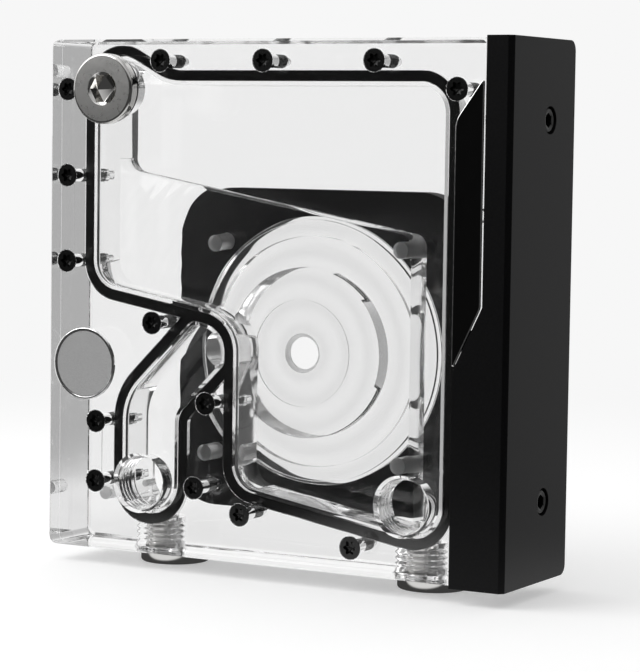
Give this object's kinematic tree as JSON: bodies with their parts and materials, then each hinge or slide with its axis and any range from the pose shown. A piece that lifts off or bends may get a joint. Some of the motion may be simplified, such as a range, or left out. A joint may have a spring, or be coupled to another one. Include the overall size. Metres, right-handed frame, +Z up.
{
  "type": "water cooling reservoir",
  "caption": "Flat square clear acrylic water cooling reservoir: milled chamber and channel under a gasketed cover, threaded ports with screw plugs, rear pump bay, black side bar.",
  "frame": {"origin": "under the middle of the whole reservoir, on the plane that its bottom plugs stand on", "axes": "+Z up, +X to the right with the side bar on the right, -Y to the front with the cover and the fill plug"},
  "size_m": [0.1252, 0.0392, 0.1284],
  "materials": {
    "clear_acrylic": "polished clear cast acrylic, milled chambers",
    "gasket_rubber": "moulded, semi-matt",
    "seal_rubber": "moulded, semi-matt",
    "black_screws": "black oxide steel",
    "black_anodised": "bead blasted, black anodised",
    "black_gloss": "black gloss film",
    "badge_metal": "brushed",
    "black_acetal": "milled black acetal",
    "nickel": "polished nickel plate on brass"
  },
  "bodies": {
    "reservoir": {"reservoir_body": "clear_acrylic", "front_plate": "clear_acrylic", "chamber_gasket": "gasket_rubber", "cover_screws": "black_screws", "side_bar": "black_anodised", "side_bar_screws": "black_screws", "name_plate": "black_gloss", "badge": "badge_metal", "pump_frame": "black_acetal", "pump_frame_screws": "black_screws"},
    "fill_seal_ring": {"fill_seal": "seal_rubber"},
    "fill_plug_body": {"fill_plug": "nickel"},
    "left_drain_seal_ring": {"left_drain_seal": "seal_rubber"},
    "left_drain_plug_body": {"left_drain_plug": "nickel"},
    "right_drain_seal_ring": {"right_drain_seal": "seal_rubber"},
    "right_drain_plug_body": {"right_drain_plug": "nickel"}
  },
  "joints": [
    {"name": "fill_travel", "type": "slide", "parent": "reservoir", "child": "fill_seal_ring", "axis": [0, -1, 0], "range_m": [0, 0.00803]},
    {"name": "fill_turn", "type": "hinge", "parent": "fill_seal_ring", "child": "fill_plug_body", "pos_m": [-0.04485, -0.01558, 0.1161], "axis": [0, -1, 0], "range_deg": [0, 2160]},
    {"name": "left_drain_travel", "type": "slide", "parent": "reservoir", "child": "left_drain_seal_ring", "axis": [0, 0, -1], "range_m": [0, 0.00803]},
    {"name": "left_drain_turn", "type": "hinge", "parent": "left_drain_seal_ring", "child": "left_drain_plug_body", "pos_m": [-0.03595, 0.00143, 0.004], "axis": [0, 0, -1], "range_deg": [0, 2160]},
    {"name": "right_drain_travel", "type": "slide", "parent": "reservoir", "child": "right_drain_seal_ring", "axis": [0, 0, -1], "range_m": [0, 0.00803]},
    {"name": "right_drain_turn", "type": "hinge", "parent": "right_drain_seal_ring", "child": "right_drain_plug_body", "pos_m": [0.03585, 0.00143, 0.004], "axis": [0, 0, -1], "range_deg": [0, 2160]}
  ],
  "couplings": [
    {"joint": "fill_travel", "follows": "fill_turn", "m_per_rad": 0.00021279},
    {"joint": "left_drain_travel", "follows": "left_drain_turn", "m_per_rad": 0.00021279},
    {"joint": "right_drain_travel", "follows": "right_drain_turn", "m_per_rad": 0.00021279}
  ]
}
